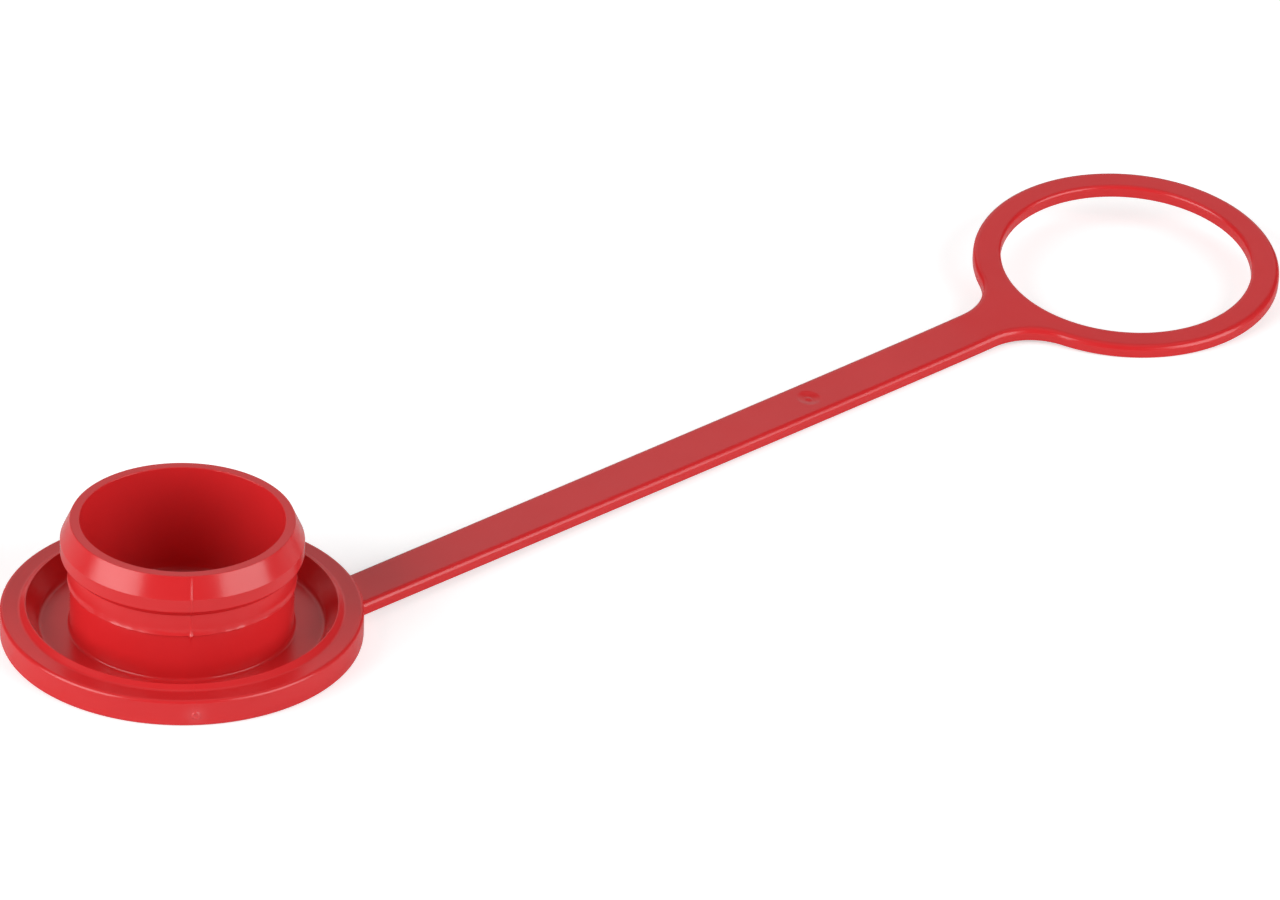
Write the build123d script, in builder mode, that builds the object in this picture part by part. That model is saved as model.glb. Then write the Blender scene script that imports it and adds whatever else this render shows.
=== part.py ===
from build123d import *
import os
from math import sqrt

# Snap-in protection plug with a strap and a retaining ring, moulded as one piece in
# soft plastic. Millimetres, +Z up. The origin is the centre of the flange's flat
# underside, and +X runs along the strap towards the ring.

# The hollow plug, from its axis outward
neck_radius = 11.8          # outside of the neck, below the parting line
neck_wall = 1.03            # wall of the neck at its open rim
cup_draft = 0.15            # the cup is this much narrower at its floor than at its mouth
band_step = 0.22            # the neck stands out this far above the parting line
bead_stand_out = 1.02       # the snap bead stands out this far from the neck
well_width = 3.25           # flat floor of the well between the neck and the lip
lip_slope_width = 1.35      # inner slope of the sealing lip, seen from above
lip_crest_width = 0.12      # narrow top of the lip
lip_flank_width = 0.6       # hollow outer flank of the lip, seen from above
land_width = 2.03           # flat land from the lip's foot to the flange's edge

# The hollow plug, from its underside up
cup_floor = 1.2             # thickness under the cup
well_floor = 1.1            # thickness under the well
flange_thickness = 3.0      # from the underside to the land
lip_height = 0.5            # the lip's crest above the land
parting_height = 6.6        # the mould's parting line on the neck
bead_base_height = 9.9      # lower edge of the bead's straight belt
belt_height = 1.45          # straight outer belt of the bead
cone_height = 2.3           # lead-in cone from the belt to the open rim

# Radii of the plug's rounded corners
flange_foot_round = 0.3     # lower edge of the flange
flange_edge_round = 0.4     # upper edge of the flange
lip_flank_round = 0.6       # hollow corner at the foot of the lip's flank
well_round = 0.7            # outer corner of the well's floor
neck_foot_round = 0.35      # inner corner of the well's floor
bead_round = 0.2            # both edges of the bead's belt
rim_round = 0.08            # both edges of the open rim
cup_round = 0.8             # corner of the cup's floor

# The strap
strap_width = 5.85          # across the strap
strap_thickness = 1.45      # of the strap and the ring alike
strap_offset = 7.8          # the strap's centre line passes this far beside the plug's axis
strap_root_height = 0.85    # underside of the strap where it leaves the flange
strap_bite = 1.0            # the strap is rooted this deep in the flange's edge
strap_bend = 12.0           # length over which the strap bends at either end
strap_spans = 8             # spans between the sections that shape the strap

# The ring
ring_hole_radius = 14.28    # the hole that the coupling's body goes through
ring_width = 3.17           # from the hole to the ring's outer edge
ring_distance = 132.0       # from the plug's axis to the ring's centre, along X
ring_shift = 0.1            # the ring's centre lies this far outside the strap's root line
ring_roll = 5.4             # degrees, the ring's -Y side lies lower
ring_pitch = 3.7            # degrees, the ring's far side lies higher
ring_turn = -2.2            # degrees, the strap's end turns with the ring
tongue_straight = 1.0       # straight end of the ring's tongue, beyond its fillets
junction_round = 7.0        # fillets between the tongue and the ring

# Edges of the strap and the ring
outer_edge_round = 0.65     # upper edges of the strap and of the ring's outside
hole_edge_round = 0.4       # upper edge of the ring's hole
foot_edge_round = 0.12      # all lower edges

# Gate mark in the top of the strap: a shallow dimple with a broken stub on its floor
dimple_radius = 1.35        # at the dimple's mouth
dimple_depth = 0.2          # in the dimple's middle
dimple_reach = 70.0         # from the strap's root to the dimple, along the strap
stub_radius = 0.25          # of the broken stub
stub_height = 0.1           # above the dimple's floor

# Gate mark on the flange's edge: a round boss with a dished end
boss_radius = 0.42          # of the boss
boss_height = 0.12          # above the flange's edge
boss_angle = -125.0         # degrees from +X, about the plug's axis
boss_level = 1.3            # the boss's centre above the underside
dish_radius = 0.3           # at the dish's mouth
dish_depth = 0.06           # in the dish's middle

# Sizes that follow from the ones above
cup_radius = neck_radius - neck_wall
band_radius = neck_radius + band_step
bead_radius = neck_radius + bead_stand_out
bead_root_height = bead_base_height - (bead_radius - band_radius)
cap_height = bead_base_height + belt_height + cone_height
well_radius = neck_radius + well_width
lip_inner_radius = well_radius + lip_slope_width
lip_outer_radius = lip_inner_radius + lip_crest_width
lip_foot_radius = lip_outer_radius + lip_flank_width
flange_radius = lip_foot_radius + land_width
ring_radius = ring_hole_radius + ring_width


# Radius of the sphere that cuts a round hollow of this mouth and depth
def hollow_sphere_radius(mouth_radius, depth):
    return (mouth_radius**2 + depth**2) / (2 * depth)


# The plug's half section as (radius, height, corner radius), counter-clockwise from the
# underside's centre, with the well and the cup open at the top
plug_corners = [
    (0, 0, 0),
    (flange_radius, 0, flange_foot_round),
    (flange_radius, flange_thickness, flange_edge_round),
    (lip_foot_radius, flange_thickness, lip_flank_round),
    (lip_outer_radius, flange_thickness + lip_height, 0),
    (lip_inner_radius, flange_thickness + lip_height, 0),
    (well_radius, well_floor, well_round),
    (neck_radius, well_floor, neck_foot_round),
    (neck_radius, parting_height, 0),
    (band_radius, parting_height, 0),
    (band_radius, bead_root_height, 0),
    (bead_radius, bead_base_height, bead_round),
    (bead_radius, bead_base_height + belt_height, bead_round),
    (neck_radius, cap_height, rim_round),
    (cup_radius, cap_height, rim_round),
    (cup_radius - cup_draft, cup_floor, cup_round),
    (0, cup_floor, 0),
]

with BuildPart() as plug:
    with BuildSketch(Plane.XZ):
        with BuildLine():
            FilletPolyline(
                [(radius, height) for radius, height, corner in plug_corners],
                radius=[corner for radius, height, corner in plug_corners],
                close=True,
            )
        make_face()
    revolve(axis=Axis.Z)

# The ring lies slightly tilted, with its lowest edge on the surface that the plug stands on
ring_tilt = Plane(Location((0, 0, 0), (ring_roll, -ring_pitch, ring_turn)))
tilt_cosine = ring_tilt.z_dir.Z
tilt_sine = sqrt(1 - tilt_cosine**2)
ring_height = (ring_radius - foot_edge_round) * tilt_sine + foot_edge_round * (1 - tilt_cosine)
ring_plane = Plane(
    origin=(ring_distance, -strap_offset - ring_shift, ring_height),
    x_dir=ring_tilt.x_dir,
    z_dir=ring_tilt.z_dir,
)

# The tongue that meets the strap is just long enough for the two fillets beside it
fillet_reach = sqrt((ring_radius + junction_round) ** 2 - (strap_width / 2 + junction_round) ** 2)
tongue_reach = fillet_reach + tongue_straight

with BuildPart() as ring:
    with BuildSketch(ring_plane):
        Circle(ring_radius)
        with Locations((-tongue_reach / 2, 0)):
            Rectangle(tongue_reach, strap_width)
        fillet(vertices().group_by(Axis.X)[1], junction_round)
        Circle(ring_hole_radius, mode=Mode.SUBTRACT)
    extrude(amount=strap_thickness)
    ring_top = faces().sort_by(Axis(ring_plane.origin, ring_plane.z_dir))[-1]
    ring_foot = faces().sort_by(Axis(ring_plane.origin, ring_plane.z_dir))[0]
    tongue_end = faces().sort_by(Axis(ring_plane.origin, ring_plane.x_dir))[0]
    fillet(ring_top.outer_wire().edges() - tongue_end.edges(), outer_edge_round)
    fillet(ring_top.inner_wires()[0].edges(), hole_edge_round)
    fillet(ring_foot.edges() - tongue_end.edges(), foot_edge_round)

# The strap runs from inside the flange's edge to the tongue, and twists and bends a little
root_half_width = strap_offset + strap_width / 2
root_x = sqrt((flange_radius - strap_bite) ** 2 - root_half_width**2) - strap_bite
root_point = Vector(root_x, -strap_offset, strap_root_height + strap_thickness / 2)
tongue_point = ring_plane.from_local_coords(Vector(-tongue_reach, 0, strap_thickness / 2))

with BuildLine() as strap_line:
    strap_path = Bezier(
        root_point,
        root_point + Vector(strap_bend, 0, 0),
        tongue_point - ring_plane.x_dir * strap_bend,
        tongue_point,
    )


# Plane across the strap at this length from its root. The strap twists evenly, from level
# at the root to the ring's tilt.
def section_plane_at(reach):
    centre = strap_path.position_at(reach, PositionMode.LENGTH)
    along = strap_path.tangent_at(reach, PositionMode.LENGTH)
    twist = reach / strap_path.length
    across = Vector(0, 1, 0) * (1 - twist) + ring_plane.y_dir * twist
    upward = along.cross(across)
    return Plane(origin=centre, x_dir=upward.cross(along), z_dir=along)


with BuildPart() as strap:
    for station in range(strap_spans + 1):
        with BuildSketch(section_plane_at(strap_path.length * station / strap_spans)):
            Rectangle(strap_width, strap_thickness)
            fillet(vertices().group_by(Axis.Y)[-1], outer_edge_round)
            fillet(vertices().group_by(Axis.Y)[0], foot_edge_round)
    loft()
    Cylinder(flange_radius - strap_bite, cap_height, mode=Mode.SUBTRACT)

# The whole moulding, with the marks of its two gates
with BuildPart() as protection_cap:
    add(plug.part)
    add(strap.part)
    add(ring.part)

    dimple_section = section_plane_at(dimple_reach)
    dimple_plane = Plane(
        origin=dimple_section.from_local_coords(Vector(0, strap_thickness / 2, 0)),
        z_dir=dimple_section.y_dir,
    )
    dimple_sphere_radius = hollow_sphere_radius(dimple_radius, dimple_depth)
    with Locations(dimple_plane.offset(dimple_sphere_radius - dimple_depth)):
        Sphere(dimple_sphere_radius, mode=Mode.SUBTRACT)
    with BuildSketch(dimple_plane.offset(-dimple_depth)):
        Circle(stub_radius)
    extrude(amount=stub_height, both=True)

    boss_direction = Vector(1, 0, 0).rotate(Axis.Z, boss_angle)
    boss_plane = Plane(
        origin=boss_direction * flange_radius + Vector(0, 0, boss_level),
        z_dir=boss_direction,
    )
    with BuildSketch(boss_plane):
        Circle(boss_radius)
    extrude(amount=boss_height, both=True)
    dish_sphere_radius = hollow_sphere_radius(dish_radius, dish_depth)
    with Locations(boss_plane.offset(boss_height + dish_sphere_radius - dish_depth)):
        Sphere(dish_sphere_radius, mode=Mode.SUBTRACT)

protection_cap.part.label = "protection_cap"
os.makedirs("parts", exist_ok=True)
export_step(protection_cap.part, "parts/protection_cap.step")
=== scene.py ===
import math

import bmesh
import bpy
import numpy as np
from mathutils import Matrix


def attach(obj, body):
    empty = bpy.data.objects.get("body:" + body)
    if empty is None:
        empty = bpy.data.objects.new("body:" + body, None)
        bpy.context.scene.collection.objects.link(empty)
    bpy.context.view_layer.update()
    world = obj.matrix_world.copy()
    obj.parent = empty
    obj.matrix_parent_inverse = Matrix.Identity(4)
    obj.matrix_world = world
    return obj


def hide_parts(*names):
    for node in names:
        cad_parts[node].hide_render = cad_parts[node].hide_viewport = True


# Snap-in protection plug with its strap and retaining ring, one moulding in red soft plastic.
# The scene is in metres, in the same frame as the CAD model. The sizes of the moulding below
# are in millimetres, and makeCap turns them into metres.

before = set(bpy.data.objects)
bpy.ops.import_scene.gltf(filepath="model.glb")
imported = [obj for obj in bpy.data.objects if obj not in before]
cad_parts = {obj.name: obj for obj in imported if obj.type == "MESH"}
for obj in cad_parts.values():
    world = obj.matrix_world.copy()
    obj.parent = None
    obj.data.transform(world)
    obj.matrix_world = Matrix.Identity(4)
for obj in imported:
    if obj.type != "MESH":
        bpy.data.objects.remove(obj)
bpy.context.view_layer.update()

scene = bpy.context.scene
scene.view_settings.view_transform = "Standard"
metresPerMillimetre = 0.001
mergeDistance = 2e-7  # metres
marginOfHeight = 1e-6  # millimetres


cameraSet = {
    "place": (-0.490545, -0.595079, 0.463946),
    "turn": (60.2332, -1.8727, -41.9592),  # degrees
    "lens": 240.025,
    "sensor": 36.0,
    "nearest": 0.01,
    "farthest": 50.0,
}


# A camera from its place, its turn and its lens
def makeCamera(values):
    data = bpy.data.cameras.new("studioCamera")
    data.lens = values["lens"]
    data.sensor_width = values["sensor"]
    data.clip_start = values["nearest"]
    data.clip_end = values["farthest"]
    camera = bpy.data.objects.new("studioCamera", data)
    camera.location = values["place"]
    camera.rotation_euler = [math.radians(angle) for angle in values["turn"]]
    scene.collection.objects.link(camera)
    scene.camera = camera


lightSet = {
    "ambient": 0.06,
    "aim": (0.030, -0.004, 0.005),
    "softboxes": [
        # name, azimuth and elevation in degrees, distance, width, height, watts
        ("leftSoftbox", 166.5, 22.0, 1.30, 1.12, 1.05, 17.0),
        ("rightSoftbox", -70.5, 22.0, 1.30, 1.12, 1.05, 14.2),
        ("backPanel", 50.5, 25.0, 1.30, 1.40, 0.90, 2.2),
        ("topPanel", 50.5, 80.0, 1.30, 1.20, 1.20, 1.6),
    ],
}


# A plain world: white to the camera, faint grey light for everything else
def makeWorld(values):
    world = bpy.data.worlds.new("studioWorld")
    world.use_nodes = True
    nodes, links = world.node_tree.nodes, world.node_tree.links
    nodes.clear()
    output = nodes.new("ShaderNodeOutputWorld")
    seen = nodes.new("ShaderNodeBackground")
    seen.inputs["Strength"].default_value = 1.0
    seen.inputs["Color"].default_value = (1.0, 1.0, 1.0, 1.0)
    light = nodes.new("ShaderNodeBackground")
    light.inputs["Color"].default_value = (1.0, 1.0, 1.0, 1.0)
    light.inputs["Strength"].default_value = values["ambient"]
    path = nodes.new("ShaderNodeLightPath")
    choose = nodes.new("ShaderNodeMixShader")
    links.new(path.outputs["Is Camera Ray"], choose.inputs["Fac"])
    links.new(light.outputs["Background"], choose.inputs[1])
    links.new(seen.outputs["Background"], choose.inputs[2])
    links.new(choose.outputs["Shader"], output.inputs["Surface"])
    scene.world = world


# Each softbox stands at its azimuth and elevation round the aim point and faces it
def makeSoftboxes(values):
    for name, azimuth, elevation, distance, width, height, watts in values["softboxes"]:
        data = bpy.data.lights.new(name, "AREA")
        data.shape = "RECTANGLE"
        data.size = width
        data.size_y = height
        data.energy = watts
        lamp = bpy.data.objects.new(name, data)
        flat = distance * math.cos(math.radians(elevation))
        lamp.location = (
            values["aim"][0] + flat * math.cos(math.radians(azimuth)),
            values["aim"][1] + flat * math.sin(math.radians(azimuth)),
            values["aim"][2] + distance * math.sin(math.radians(elevation)),
        )
        lamp.rotation_euler = (math.radians(90.0 - elevation), 0.0, math.radians(azimuth + 90.0))
        scene.collection.objects.link(lamp)


# An empty node material, with its nodes and links
def makeMaterial(name):
    material = bpy.data.materials.new(name)
    material.use_nodes = True
    material.node_tree.nodes.clear()
    return material, material.node_tree.nodes, material.node_tree.links


floorSet = {
    "height": -0.00005,  # just under the moulding
    "radius": 3.0,
    "sides": 96,
    "colour": 0.80,
    "roughness": 0.9,
    "lift": 0.55,  # added for the camera only, so the lit floor is white
}


# Matt pale floor, lifted to white for the camera alone, with the shadow kept
def makeFloorMaterial(values):
    material, nodes, links = makeMaterial("paleFloor")
    output = nodes.new("ShaderNodeOutputMaterial")
    shader = nodes.new("ShaderNodeBsdfPrincipled")
    shade = values["colour"]
    shader.inputs["Base Color"].default_value = (shade, shade, shade, 1.0)
    shader.inputs["Roughness"].default_value = values["roughness"]
    shader.inputs["Specular IOR Level"].default_value = 0.0
    lift = nodes.new("ShaderNodeEmission")
    lift.inputs["Strength"].default_value = values["lift"]
    path = nodes.new("ShaderNodeLightPath")
    lit = nodes.new("ShaderNodeAddShader")
    links.new(shader.outputs["BSDF"], lit.inputs[0])
    links.new(lift.outputs["Emission"], lit.inputs[1])
    choose = nodes.new("ShaderNodeMixShader")
    links.new(path.outputs["Is Camera Ray"], choose.inputs["Fac"])
    links.new(shader.outputs["BSDF"], choose.inputs[1])
    links.new(lit.outputs["Shader"], choose.inputs[2])
    links.new(choose.outputs["Shader"], output.inputs["Surface"])
    return material


# The floor is a flat disc: x = r cos(a), y = r sin(a), at one height
def makeFloor(values):
    angle = np.linspace(0.0, 2.0 * np.pi, values["sides"], endpoint=False)
    rim = np.column_stack((np.cos(angle), np.sin(angle), np.zeros_like(angle)))
    points = rim * values["radius"]
    points[:, 2] = values["height"]
    mesh = bpy.data.meshes.new("floor")
    mesh.from_pydata(points.tolist(), [], [list(range(len(points)))])
    mesh.materials.append(makeFloorMaterial(values))
    floor = bpy.data.objects.new("floor", mesh)
    scene.collection.objects.link(floor)


plasticSet = {
    "colour": (0.690, 0.0225, 0.0255),
    "mottleScale": 90.0,
    "mottleDetail": 3.0,
    "mottleRed": 0.05,  # share by which the red channel varies either way
    "mottleRest": 0.12,  # and the other two
    "haloColour": (0.80, 0.16, 0.17),  # plastic whitened round the gate mark
    "haloShare": 0.28,
    "roughness": 0.24,
    "roughnessSpread": 0.03,
    "patchScale": 320.0,
    "patchDetail": 1.0,
    "patchRange": (0.3, 0.7),
    "ior": 1.49,
    "rippleScale": 260.0,
    "rippleDetail": 1.0,
    "rippleDepth": 0.00003,
    "grainScale": 4200.0,
    "grainDetail": 2.0,
    "grainDepth": 0.0000008,
}


# Noise on the piece's own coordinates
def addNoise(nodes, links, place, scale, detail):
    noise = nodes.new("ShaderNodeTexNoise")
    noise.inputs["Scale"].default_value = scale
    noise.inputs["Detail"].default_value = detail
    links.new(place.outputs["Object"], noise.inputs["Vector"])
    return noise


def addBump(nodes, links, noise, depth):
    bump = nodes.new("ShaderNodeBump")
    bump.inputs["Strength"].default_value = 1.0
    bump.inputs["Distance"].default_value = depth
    links.new(noise.outputs["Fac"], bump.inputs["Height"])
    return bump


# Moulded plastic: a base colour with slow mottling and paler plastic round the gate mark,
# a satin gloss that varies slowly, and a bump that adds a long ripple to a fine grain
def makePlastic(values):
    material, nodes, links = makeMaterial("redPlastic")
    output = nodes.new("ShaderNodeOutputMaterial")
    shader = nodes.new("ShaderNodeBsdfPrincipled")
    shader.inputs["IOR"].default_value = values["ior"]
    links.new(shader.outputs["BSDF"], output.inputs["Surface"])
    place = nodes.new("ShaderNodeTexCoord")

    mottle = addNoise(nodes, links, place, values["mottleScale"], values["mottleDetail"])
    tint = nodes.new("ShaderNodeMix")
    tint.data_type = "RGBA"
    spread = np.array([values["mottleRed"], values["mottleRest"], values["mottleRest"]])
    colour = np.array(values["colour"])
    tint.inputs["A"].default_value = (*(colour * (1.0 - spread)), 1.0)
    tint.inputs["B"].default_value = (*(colour * (1.0 + spread)), 1.0)
    links.new(mottle.outputs["Fac"], tint.inputs["Factor"])
    halo = nodes.new("ShaderNodeAttribute")
    halo.attribute_name = "gateHalo"
    pale = nodes.new("ShaderNodeMapRange")
    pale.inputs["To Max"].default_value = values["haloShare"]
    links.new(halo.outputs["Fac"], pale.inputs["Value"])
    stressed = nodes.new("ShaderNodeMix")
    stressed.data_type = "RGBA"
    stressed.inputs["B"].default_value = (*values["haloColour"], 1.0)
    links.new(pale.outputs["Result"], stressed.inputs["Factor"])
    links.new(tint.outputs["Result"], stressed.inputs["A"])
    links.new(stressed.outputs["Result"], shader.inputs["Base Color"])

    patches = addNoise(nodes, links, place, values["patchScale"], values["patchDetail"])
    gloss = nodes.new("ShaderNodeMapRange")
    gloss.inputs["From Min"].default_value = values["patchRange"][0]
    gloss.inputs["From Max"].default_value = values["patchRange"][1]
    gloss.inputs["To Min"].default_value = values["roughness"] - values["roughnessSpread"]
    gloss.inputs["To Max"].default_value = values["roughness"] + values["roughnessSpread"]
    links.new(patches.outputs["Fac"], gloss.inputs["Value"])
    links.new(gloss.outputs["Result"], shader.inputs["Roughness"])

    ripple = addNoise(nodes, links, place, values["rippleScale"], values["rippleDetail"])
    grain = addNoise(nodes, links, place, values["grainScale"], values["grainDetail"])
    rippleBump = addBump(nodes, links, ripple, values["rippleDepth"])
    grainBump = addBump(nodes, links, grain, values["grainDepth"])
    links.new(rippleBump.outputs["Normal"], grainBump.inputs["Normal"])
    links.new(grainBump.outputs["Normal"], shader.inputs["Normal"])
    return material


# A line through the corners, each corner rounded by its own radius: the arc touches both
# sides at radius / tan(half the corner's angle), with a support point just beyond each end
def roundedLine(corners, arcSteps, support):
    spots = np.array([corner[:2] for corner in corners])
    pieces = [spots[:1]]
    for before, here, after, corner in zip(spots, spots[1:], spots[2:], corners[1:]):
        radius = corner[2]
        back = (before - here) / np.linalg.norm(before - here)
        ahead = (after - here) / np.linalg.norm(after - here)
        half = 0.5 * math.acos(np.clip(back @ ahead, -1.0, 1.0))
        reach = radius / math.tan(half)
        middle = here + (back + ahead) / np.linalg.norm(back + ahead) * radius / math.sin(half)
        first, last = here + back * reach - middle, here + ahead * reach - middle
        start = math.atan2(first[1], first[0])
        sweep = math.atan2(last[1], last[0]) - start
        sweep = (sweep + math.pi) % (2.0 * math.pi) - math.pi
        turn = start + sweep * np.linspace(0.0, 1.0, arcSteps + 1)
        arc = middle + radius * np.column_stack((np.cos(turn), np.sin(turn)))
        pieces += [[here + back * (reach + support)], arc, [here + ahead * (reach + support)]]
    pieces.append(spots[-1:])
    return np.vstack(pieces)


# Each run of a line is divided into equal steps no longer than the step given for it
def divideRuns(line, steps):
    runs = np.linalg.norm(np.diff(line, axis=0), axis=1)
    counts = np.maximum(1, np.ceil(runs / steps)).astype(int)
    row = np.repeat(np.arange(len(runs)), counts)
    part = np.arange(counts.sum()) - np.repeat(np.cumsum(counts) - counts, counts)
    share = (part / counts[row])[:, None]
    return np.vstack((line[row] * (1.0 - share) + line[row + 1] * share, line[-1:]))


# Faces of a grid of rows and columns, numbered row by row from the first vertex
def gridFaces(rows, columns, first=0, closed=False):
    across = np.arange(columns if closed else columns - 1)
    down = np.arange(rows - 1)[:, None] * columns
    here = first + down + across
    right = first + down + (across + 1) % columns
    faces = np.stack((here, right, right + columns, here + columns), axis=-1)
    return faces.reshape(-1, 4)


# 1 well inside the reach and 0 well outside it, with a soft edge
def softDisc(away, reach, edge):
    return np.clip((reach - away) / edge + 0.5, 0.0, 1.0)


# A round hollow, 1 in its middle and 0 from its rim outward: 1 - (distance / radius) squared
def roundHollow(away, radius):
    return np.clip(1.0 - (away / radius) ** 2, 0.0, 1.0)


plugSet = {
    "neckRadius": 11.8,
    "neckWall": 1.03,
    "cupDraft": 0.15,
    "bandStep": 0.22,  # the neck stands out above the parting line
    "beadStandOut": 1.02,
    "wellWidth": 3.25,
    "lipSlope": 1.35,
    "lipCrest": 0.12,
    "lipFlank": 0.6,
    "landWidth": 2.03,
    "cupFloor": 1.2,
    "wellFloor": 1.1,
    "flangeThickness": 3.0,
    "lipHeight": 0.5,
    "partingHeight": 6.6,
    "beadHeight": 9.9,
    "beltHeight": 1.45,
    "coneHeight": 2.3,
    "flangeFootRound": 0.3,
    "flangeEdgeRound": 0.4,
    "lipFootRound": 0.6,
    "crestRound": 0.035,
    "wellRound": 0.7,
    "neckFootRound": 0.35,
    "partingRound": 0.04,
    "beadRootRound": 0.12,
    "beadRound": 0.2,
    "rimRound": 0.08,
    "cupRound": 0.8,
    "arcSteps": 6,
    "support": 0.03,  # support points lie this far beyond an arc's ends
    "runStep": 0.9,
    "wallStep": 0.08,  # on the flange's edge, for the gate mark
    "wallMargin": 0.01,
    "insideStep": 2.5,  # under the plug and in the cup
    "insideMargin": 2.0,  # which begin this far inside the neck
    "turnSteps": 264,
    "seamSpread": 2.4,  # degrees either side of a seam that get a finer grid
    "seamSteps": 30,
}

# What the mould leaves on the plug: a seam on both sides, a lip of flash, and a gate mark
mouldSet = {
    "seamAngle": -125.0,  # degrees from +X, and again on the far side
    "seamWidth": 0.06,
    "seamHeight": 0.06,
    "faintSeamHeight": 0.02,  # on the lip, the land and the flange's edge
    "neckMargin": 0.05,
    "rimMargin": 0.1,
    "partingMargin": 0.05,
    "skirtMargin": 0.3,  # the faint seam begins this far outside the well's floor
    "skirtFoot": 0.5,  # and this far above the underside
    "flashHeight": 0.07,
    "flashReach": 0.05,  # above and below the parting line
    "flashInset": 0.07,  # from the band's surface inward
    "flashOutset": 0.02,
    "flashMiddle": 0.5,
    "flashWaves": [(0.25, 5, 1.0), (0.2, 17, 0.0), (0.15, 43, 0.0)],  # height, count, phase
    "blobRadius": 0.17,
    "blobHeight": 0.11,
    "gateLevel": 1.3,
    "gateRadius": 0.42,
    "gateHeight": 0.13,
    "gateEdge": 0.06,
    "dishRadius": 0.30,
    "dishDepth": 0.13,
    "haloReach": 0.9,
    "edgeMargin": 0.02,
    "haloWidth": 4.0,  # the halo stops this far to either side
}


# The plug's section, from the middle of its underside and counter-clockwise, as a rounded
# line of radius and height, with the flange's radius and the rim's height
def plugSection(values):
    neck, flange = values["neckRadius"], values["flangeThickness"]
    band, bead = neck + values["bandStep"], neck + values["beadStandOut"]
    cup, well = neck - values["neckWall"], neck + values["wellWidth"]
    lipIn = well + values["lipSlope"]
    lipOut = lipIn + values["lipCrest"]
    lipFoot = lipOut + values["lipFlank"]
    edge = lipFoot + values["landWidth"]
    crest, beadLow = flange + values["lipHeight"], values["beadHeight"]
    beadTop = beadLow + values["beltHeight"]
    rim = beadTop + values["coneHeight"]
    parting, floor = values["partingHeight"], values["wellFloor"]
    corners = [
        (0.0, 0.0, 0.0),
        (edge, 0.0, values["flangeFootRound"]),
        (edge, flange, values["flangeEdgeRound"]),
        (lipFoot, flange, values["lipFootRound"]),
        (lipOut, crest, values["crestRound"]),
        (lipIn, crest, values["crestRound"]),
        (well, floor, values["wellRound"]),
        (neck, floor, values["neckFootRound"]),
        (neck, parting, values["partingRound"]),
        (band, parting, values["partingRound"]),
        (band, beadLow - (bead - band), values["beadRootRound"]),
        (bead, beadLow, values["beadRound"]),
        (bead, beadTop, values["beadRound"]),
        (neck, rim, values["rimRound"]),
        (cup, rim, values["rimRound"]),
        (cup - values["cupDraft"], values["cupFloor"], values["cupRound"]),
        (0.0, values["cupFloor"], 0.0),
    ]
    return roundedLine(corners, values["arcSteps"], values["support"]), edge, rim


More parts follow.
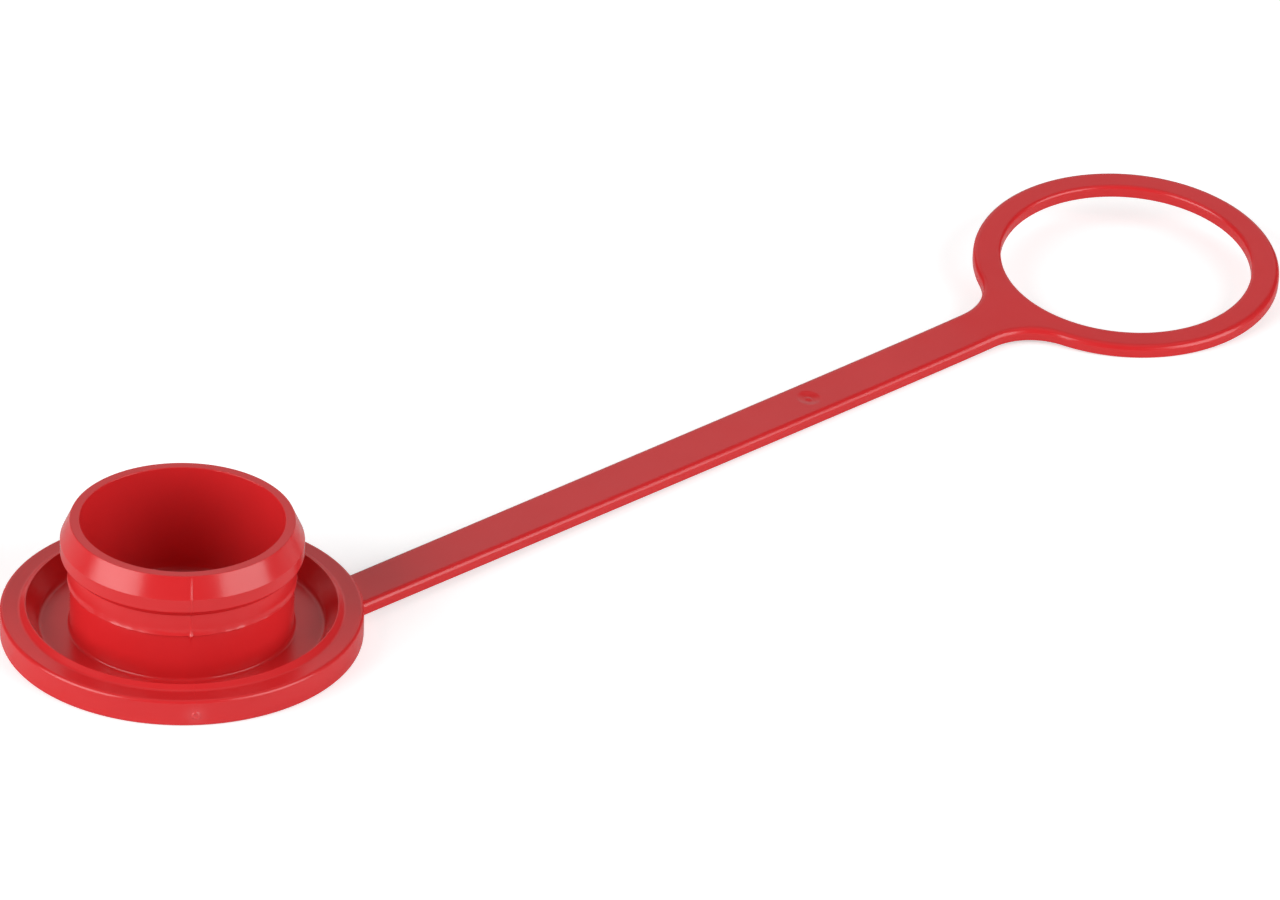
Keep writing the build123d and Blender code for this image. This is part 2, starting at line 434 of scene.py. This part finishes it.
# The plug is its section turned round the axis: x = r cos(a), y = r sin(a), z = height.
# Seam, flash, blob and gate mark move each point along the section's normal.
def makePlug(values, mould):
    line, edge, rim = plugSection(values)
    neck, parting = values["neckRadius"], values["partingHeight"]
    lower, upper = line[:-1, 0], line[1:, 0]
    wallFrom = edge - values["wallMargin"]
    onWall = (lower > wallFrom) & (upper > wallFrom)
    inside = np.maximum(lower, upper) < neck - values["insideMargin"]
    steps = np.where(onWall, values["wallStep"], values["runStep"])
    line = divideRuns(line, np.where(inside, values["insideStep"], steps))
    along = np.gradient(line, axis=0)
    along /= np.linalg.norm(along, axis=1)[:, None]
    outward = np.column_stack((along[:, 1], -along[:, 0]))

    # Even columns all round, with finer ones at both seams
    even = np.linspace(-180.0, 180.0, values["turnSteps"], endpoint=False)
    fine = np.linspace(-values["seamSpread"], values["seamSpread"], values["seamSteps"])
    seams = (mould["seamAngle"], mould["seamAngle"] + 180.0)
    near = np.min([np.abs(even - seam) for seam in seams], axis=0) < values["seamSpread"]
    angle = np.sort(np.concatenate((even[~near], seams[0] + fine, seams[1] + fine)))
    turn = np.radians(angle)

    body = line[1:-1]
    radius, height = body[:, :1], body[:, 1:]
    normalR, normalZ = outward[1:-1, :1], outward[1:-1, 1:]

    # The seam is a thin rounded ridge, highest on the band and the bead
    outside = (radius > neck - mould["neckMargin"]) & (height < rim - mould["rimMargin"])
    aboveParting = outside & (height > parting - mould["partingMargin"])
    skirtRadius = neck + values["wellWidth"] + mould["skirtMargin"]
    skirt = outside & (radius > skirtRadius) & (height > mould["skirtFoot"])
    faint = np.where(skirt, mould["faintSeamHeight"], 0.0)
    tall = np.where(aboveParting, mould["seamHeight"], faint)
    aside = np.min([np.abs(angle - seam) for seam in seams], axis=0)
    gap = np.radians(aside)[None, :] * radius
    lift = tall * np.exp(-((gap / mould["seamWidth"]) ** 2))

    # A ragged lip of flash runs round the step at the parting line: its height is a sum of
    # three waves round the neck. A blob sits on the seam there.
    band = neck + values["bandStep"]
    onStep = (radius > band - mould["flashInset"]) & (radius < band + mould["flashOutset"])
    onStep = onStep & (np.abs(height - parting) < mould["flashReach"])
    waves = sum(size * np.sin(count * turn + phase) for size, count, phase in mould["flashWaves"])
    ragged = np.clip(mould["flashMiddle"] + waves, 0.0, 1.0)
    lift = lift + onStep * mould["flashHeight"] * ragged
    side = np.radians(angle - mould["seamAngle"])[None, :] * radius
    blobAway = np.hypot(side, height - parting) / mould["blobRadius"]
    lift = lift + outside * mould["blobHeight"] * np.exp(-(blobAway**2))

    # The gate mark is a low round boss with a dished end, on the near side only
    away = np.hypot(side, height - mould["gateLevel"])
    onEdge = radius > edge - mould["edgeMargin"]
    boss = mould["gateHeight"] * softDisc(away, mould["gateRadius"], mould["gateEdge"])
    dish = mould["dishDepth"] * roundHollow(away, mould["dishRadius"])
    lift = lift + np.where(onEdge, boss - dish, 0.0)
    nearGate = onEdge & (np.abs(side) < mould["haloWidth"])
    halo = np.where(nearGate, np.exp(-((away / mould["haloReach"]) ** 2)), 0.0)

    spread = radius + normalR * lift
    rise = height + normalZ * lift
    points = np.stack((spread * np.cos(turn), spread * np.sin(turn), rise), axis=-1)
    rows, columns = points.shape[:2]
    points = points.reshape(-1, 3)
    faces = gridFaces(rows, columns, closed=True).tolist()

    # One vertex closes the grid at either pole
    low, high = len(points), len(points) + 1
    ring = np.arange(columns)
    nextRing = (ring + 1) % columns
    last = (rows - 1) * columns
    faces += np.column_stack((np.full(columns, low), nextRing, ring)).tolist()
    faces += np.column_stack((np.full(columns, high), last + ring, last + nextRing)).tolist()
    poles = [(0.0, 0.0, line[0, 1]), (0.0, 0.0, line[-1, 1])]
    return np.vstack((points, poles)), faces, np.append(halo.ravel(), (0.0, 0.0))


# The strap and the ring are one flat outline, bent to the strap's path
strapSet = {
    "width": 5.85,
    "thickness": 1.45,
    "offset": 7.8,  # beside the plug's axis
    "rootHeight": 0.85,
    "bite": 1.0,  # rooted this deep in the flange's edge
    "bend": 12.0,
    "upperRound": 0.65,
    "holeRound": 0.4,
    "footRound": 0.12,
    "easeLength": 9.0,  # over which the end takes the round of the flange
    "runStep": 0.75,
    "turnSteps": 150,
    "filletSteps": 26,
    "flatSteps": 13,
    "bendSteps": 8,
    "wallSteps": 4,
    "heelSteps": 4,
    "underShares": [0.97, 0.66, 0.33, 0.0],
    "liningBendSteps": 7,
    "liningWallSteps": 3,
    "curveSteps": 4000,
}

ringSet = {
    "holeRadius": 14.28,
    "width": 3.17,
    "distance": 132.0,
    "shift": 0.1,
    "roll": 5.4,  # degrees, as are the next two
    "pitch": 3.7,
    "turn": -2.2,
    "tongue": 1.0,
    "fillet": 7.0,
}

dimpleSet = {
    "reach": 70.0,  # along the strap from its root
    "radius": 1.35,
    "depth": 0.2,
    "stubRadius": 0.27,
    "stubHeight": 0.11,
    "stubEdge": 0.1,
    "spread": 1.7,  # finer grid this far to either side
    "step": 0.12,
}


# The ring's plane: turned by roll, then pitch, then turn, and set down with its lowest edge
# at height 0. Its three directions are the columns.
def ringFrame(ring, strap):
    roll, pitch, turn = (math.radians(ring[key]) for key in ("roll", "pitch", "turn"))
    pitch = -pitch
    aboutX = np.array(
        [[1, 0, 0], [0, math.cos(roll), -math.sin(roll)], [0, math.sin(roll), math.cos(roll)]]
    )
    aboutY = np.array(
        [[math.cos(pitch), 0, math.sin(pitch)], [0, 1, 0], [-math.sin(pitch), 0, math.cos(pitch)]]
    )
    aboutZ = np.array(
        [[math.cos(turn), -math.sin(turn), 0], [math.sin(turn), math.cos(turn), 0], [0, 0, 1]]
    )
    directions = aboutX @ aboutY @ aboutZ
    upright = directions[2, 2]
    slope = math.sqrt(1.0 - upright**2)
    radius, foot = ring["holeRadius"] + ring["width"], strap["footRound"]
    height = (radius - foot) * slope + foot * (1.0 - upright)
    middle = np.array([ring["distance"], -strap["offset"] - ring["shift"], height])
    return middle, directions


# A point (x, y, height) of the flat outline goes to the ring's plane where it is past the
# tongue, and before that to the strap's path: a cubic curve walked by its length, with
# directions that turn evenly from level to the ring's
def bendOutline(flat, strap, ring, tongueReach, rootPoint):
    middle, directions = ringFrame(ring, strap)
    half = strap["thickness"] / 2.0
    tonguePoint = middle + directions @ np.array([-tongueReach, 0.0, half])
    handles = np.array(
        [
            rootPoint,
            rootPoint + np.array([strap["bend"], 0.0, 0.0]),
            tonguePoint - directions[:, 0] * strap["bend"],
            tonguePoint,
        ]
    )
    share = np.linspace(0.0, 1.0, strap["curveSteps"] + 1)[:, None]

    def curve(t):
        return (
            handles[0] * (1 - t) ** 3
            + handles[1] * 3 * t * (1 - t) ** 2
            + handles[2] * 3 * t**2 * (1 - t)
            + handles[3] * t**3
        )

    walked = np.linalg.norm(np.diff(curve(share), axis=0), axis=1)
    walked = np.append(0.0, np.cumsum(walked))
    length = walked[-1]
    reach = np.clip(length + flat[:, 0] + tongueReach, 0.0, length)
    t = np.interp(reach, walked, share[:, 0])[:, None]
    centre = curve(t)
    along = (
        (handles[1] - handles[0]) * (1 - t) ** 2
        + (handles[2] - handles[1]) * 2 * t * (1 - t)
        + (handles[3] - handles[2]) * t**2
    )
    along /= np.linalg.norm(along, axis=1)[:, None]
    twist = (reach / length)[:, None]
    across = np.array([0.0, 1.0, 0.0]) * (1 - twist) + directions[:, 1] * twist
    upward = np.cross(along, across)
    upward /= np.linalg.norm(upward, axis=1)[:, None]
    across = np.cross(upward, along)
    bent = centre + across * flat[:, 1:2] + upward * (flat[:, 2:3] - half)
    level = middle + flat @ directions.T
    return np.where(flat[:, :1] < -tongueReach, bent, level), length


# One half of the outline from the root to the ring's far point, as points, the normals
# that face out of the plastic, and the partners on the centre line or round the hole. The
# last value is the place in the list where the centre line meets the hole.
def halfOutline(strap, ring, filletReach, rootX, dimpleX, dimple):
    half = strap["width"] / 2.0
    radius, fillet = ring["holeRadius"] + ring["width"], ring["fillet"]
    holeEdge = ring["holeRadius"] + strap["holeRound"]
    count = int((-filletReach - rootX) / strap["runStep"])
    even = np.linspace(rootX, -filletReach, count, endpoint=False)
    even = even[np.abs(even - dimpleX) > dimple["spread"]]
    close = np.arange(-dimple["spread"], dimple["spread"] + 0.01, dimple["step"]) + dimpleX
    straight = np.sort(np.concatenate((even, close)))
    strapPoints = np.column_stack((straight, np.full_like(straight, half)))
    strapNormals = np.tile([0.0, 1.0], (len(straight), 1))
    strapPartners = np.column_stack((straight, np.zeros_like(straight)))

    # The fillet is an arc of its radius from the strap's side to the ring's circle
    middle = np.array([-filletReach, half + fillet])
    toRing = math.atan2(-middle[1], -middle[0])
    turn = np.linspace(-math.pi / 2.0, toRing, strap["filletSteps"])
    ray = np.column_stack((np.cos(turn), np.sin(turn)))
    filletPoints = middle + fillet * ray
    bearing = math.atan2(middle[1], middle[0])
    straightPart = filletReach - holeEdge
    walk = np.linspace(0.0, straightPart + holeEdge * (math.pi - bearing), strap["filletSteps"])
    around = math.pi - np.maximum(0.0, walk - straightPart) / holeEdge
    onHole = np.column_stack((holeEdge * np.cos(around), holeEdge * np.sin(around)))
    onLine = np.column_stack((-filletReach + walk, np.zeros_like(walk)))
    filletPartners = np.where((walk > straightPart)[:, None], onHole, onLine)
    corner = int(np.argmin(np.abs(walk - straightPart)))
    filletPartners[corner] = (-holeEdge, 0.0)

    turn = np.linspace(bearing, 0.0, strap["turnSteps"])[1:]
    ringRay = np.column_stack((np.cos(turn), np.sin(turn)))
    points = np.vstack((strapPoints, filletPoints, radius * ringRay))
    normals = np.vstack((strapNormals, -ray, ringRay))
    partners = np.vstack((strapPartners, filletPartners, holeEdge * ringRay))
    return points, normals, partners, len(strapPoints) + corner


# Inset and height of a quarter round, from the flat above it to the wall, in equal turns
def upperRound(radius, thick, turn):
    return radius * (1.0 - np.sin(turn)), thick - radius * (1.0 - np.cos(turn))


# Inset and height of a quarter round, from the wall to the underside
def lowerRound(radius, turn):
    return radius * (1.0 - np.cos(turn)), radius * (1.0 - np.sin(turn))


# Section of the outside as (share of the way from partner to edge, inset, height): over
# the top's flat, round the upper edge, down the wall, round the foot and back under
def outsideSection(strap):
    thick, upper, foot = strap["thickness"], strap["upperRound"], strap["footRound"]
    flat = np.linspace(0.0, 1.0, strap["flatSteps"] + 1)
    top = np.column_stack((flat, np.full_like(flat, upper), np.full_like(flat, thick)))
    turn = np.linspace(0.0, math.pi / 2.0, strap["bendSteps"] + 1)[1:]
    bend = np.column_stack((np.ones_like(turn), *upperRound(upper, thick, turn)))
    wallHeights = np.linspace(thick - upper, foot, strap["wallSteps"] + 1)[1:]
    wall = np.column_stack((np.ones_like(wallHeights), np.zeros_like(wallHeights), wallHeights))
    turn = np.linspace(0.0, math.pi / 2.0, strap["heelSteps"] + 1)[1:]
    heel = np.column_stack((np.ones_like(turn), *lowerRound(foot, turn)))
    back = np.array(strap["underShares"])
    under = np.column_stack((back, np.full_like(back, foot), np.zeros_like(back)))
    return np.vstack((top, bend, wall, heel, under))


# Section of the hole's lining as (inset, height), from the top's flat to the underside
def liningSection(strap):
    thick, edge, foot = strap["thickness"], strap["holeRound"], strap["footRound"]
    turn = np.linspace(0.0, math.pi / 2.0, strap["liningBendSteps"] + 1)
    top = np.column_stack(upperRound(edge, thick, turn))
    wallHeights = np.linspace(thick - edge, foot, strap["liningWallSteps"] + 1)[1:]
    wall = np.column_stack((np.zeros_like(wallHeights), wallHeights))
    heel = np.column_stack(lowerRound(foot, turn))[1:]
    return np.vstack((top, wall, heel, [[edge, 0.0]]))


# Strap and ring: the outside's section follows the outline, and the lining follows the
# hole. Both are worked out flat, then bent to the strap's path. Faces count their vertices
# from firstVertex.
def makeStrapAndRing(strap, ring, dimple, flangeRadius, firstVertex):
    thick, half = strap["thickness"], strap["width"] / 2.0
    radius, fillet = ring["holeRadius"] + ring["width"], ring["fillet"]
    filletReach = math.sqrt((radius + fillet) ** 2 - (half + fillet) ** 2)
    tongueReach = filletReach + ring["tongue"]
    rooted = flangeRadius - strap["bite"]
    rootAlong = math.sqrt(rooted**2 - (strap["offset"] + half) ** 2) - strap["bite"]
    rootPoint = np.array([rootAlong, -strap["offset"], strap["rootHeight"] + thick / 2.0])
    length = bendOutline(np.zeros((1, 3)), strap, ring, tongueReach, rootPoint)[1]
    rootX = -tongueReach - length
    dimpleX = rootX + dimple["reach"]

    points, normals, partners, corner = halfOutline(
        strap, ring, filletReach, rootX, dimpleX, dimple
    )
    mirror = np.array([1.0, -1.0])
    points = np.vstack((points, points[-2::-1] * mirror))
    normals = np.vstack((normals, normals[-2::-1] * mirror))
    partners = np.vstack((partners, partners[-2::-1] * mirror))

    section = outsideSection(strap)
    share, inset = section[:, 0][:, None, None], section[:, 1][:, None, None]
    edge = points[None] - normals[None] * inset
    plan = partners[None] * (1.0 - share) + edge * share
    rows, columns = plan.shape[:2]
    heights = np.repeat(section[:, 2][:, None], columns, axis=1)
    outer = np.dstack((plan, heights))

    # Dimple: a shallow bowl in the top with a broken stub on its floor
    away = np.hypot(outer[..., 0] - dimpleX, outer[..., 1])
    bowl = dimple["depth"] * roundHollow(away, dimple["radius"])
    stub = dimple["stubHeight"] * softDisc(away, dimple["stubRadius"], dimple["stubEdge"])
    onTop = outer[..., 2] > thick - marginOfHeight
    outer[..., 2] -= np.where(onTop, bowl - stub, 0.0)

    holeSpots = partners[corner : len(partners) - corner - 1]
    around = np.arctan2(holeSpots[:, 1], holeSpots[:, 0])
    lining = liningSection(strap)
    lineRadius = (ring["holeRadius"] + lining[:, 0])[:, None]
    liningHeights = np.repeat(lining[:, 1][:, None], len(around), axis=1)
    inner = np.dstack((lineRadius * np.cos(around), lineRadius * np.sin(around), liningHeights))

    outerFaces = gridFaces(rows, columns, firstVertex)[:, ::-1]
    innerFaces = gridFaces(*inner.shape[:2], firstVertex + rows * columns, closed=True)
    leftEnd = firstVertex + np.arange(rows) * columns
    rightEnd = leftEnd + columns - 1
    rootCap = np.append(leftEnd, rightEnd[-2:0:-1]).tolist()
    faces = outerFaces.tolist() + innerFaces.tolist() + [rootCap]

    # The strap's end follows the round of the flange that it grows out of
    flatPoints = np.vstack((outer.reshape(-1, 3), inner.reshape(-1, 3)))
    beside = flatPoints[:, 1] - strap["offset"]
    trim = np.sqrt(np.maximum(rooted**2 - beside**2, 0.0)) - rootAlong
    ease = np.clip(1.0 - (flatPoints[:, 0] - rootX) / strap["easeLength"], 0.0, 1.0)
    flatPoints[:, 0] += trim * ease
    placed = bendOutline(flatPoints, strap, ring, tongueReach, rootPoint)[0]
    return placed, faces, np.zeros(len(placed))


# One mesh from both closed shells, with doubled points merged and a smooth shade
def makeCap():
    flangeRadius = plugSection(plugSet)[1]
    plugPoints, plugFaces, plugHalo = makePlug(plugSet, mouldSet)
    strapPoints, strapFaces, strapHalo = makeStrapAndRing(
        strapSet, ringSet, dimpleSet, flangeRadius, len(plugPoints)
    )
    points = np.vstack((plugPoints, strapPoints)) * metresPerMillimetre
    mesh = bpy.data.meshes.new("protectionCap")
    mesh.from_pydata(points.tolist(), [], plugFaces + strapFaces)
    halo = mesh.attributes.new("gateHalo", "FLOAT", "POINT")
    halo.data.foreach_set("value", np.append(plugHalo, strapHalo).astype(np.float32))
    work = bmesh.new()
    work.from_mesh(mesh)
    bmesh.ops.remove_doubles(work, verts=work.verts, dist=mergeDistance)
    bmesh.ops.recalc_face_normals(work, faces=work.faces)
    work.to_mesh(mesh)
    work.free()
    mesh.shade_smooth()
    piece = bpy.data.objects.new("protectionCap", mesh)
    scene.collection.objects.link(piece)
    return piece


makeCamera(cameraSet)
makeWorld(lightSet)
makeSoftboxes(lightSet)
makeFloor(floorSet)
print("camera, lights and floor are in place")

cap = makeCap()
cap.data.materials.append(makePlastic(plasticSet))
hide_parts("protection_cap")
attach(cap, "root")
print("the cap's mesh and material are made, with", len(cap.data.polygons), "faces")
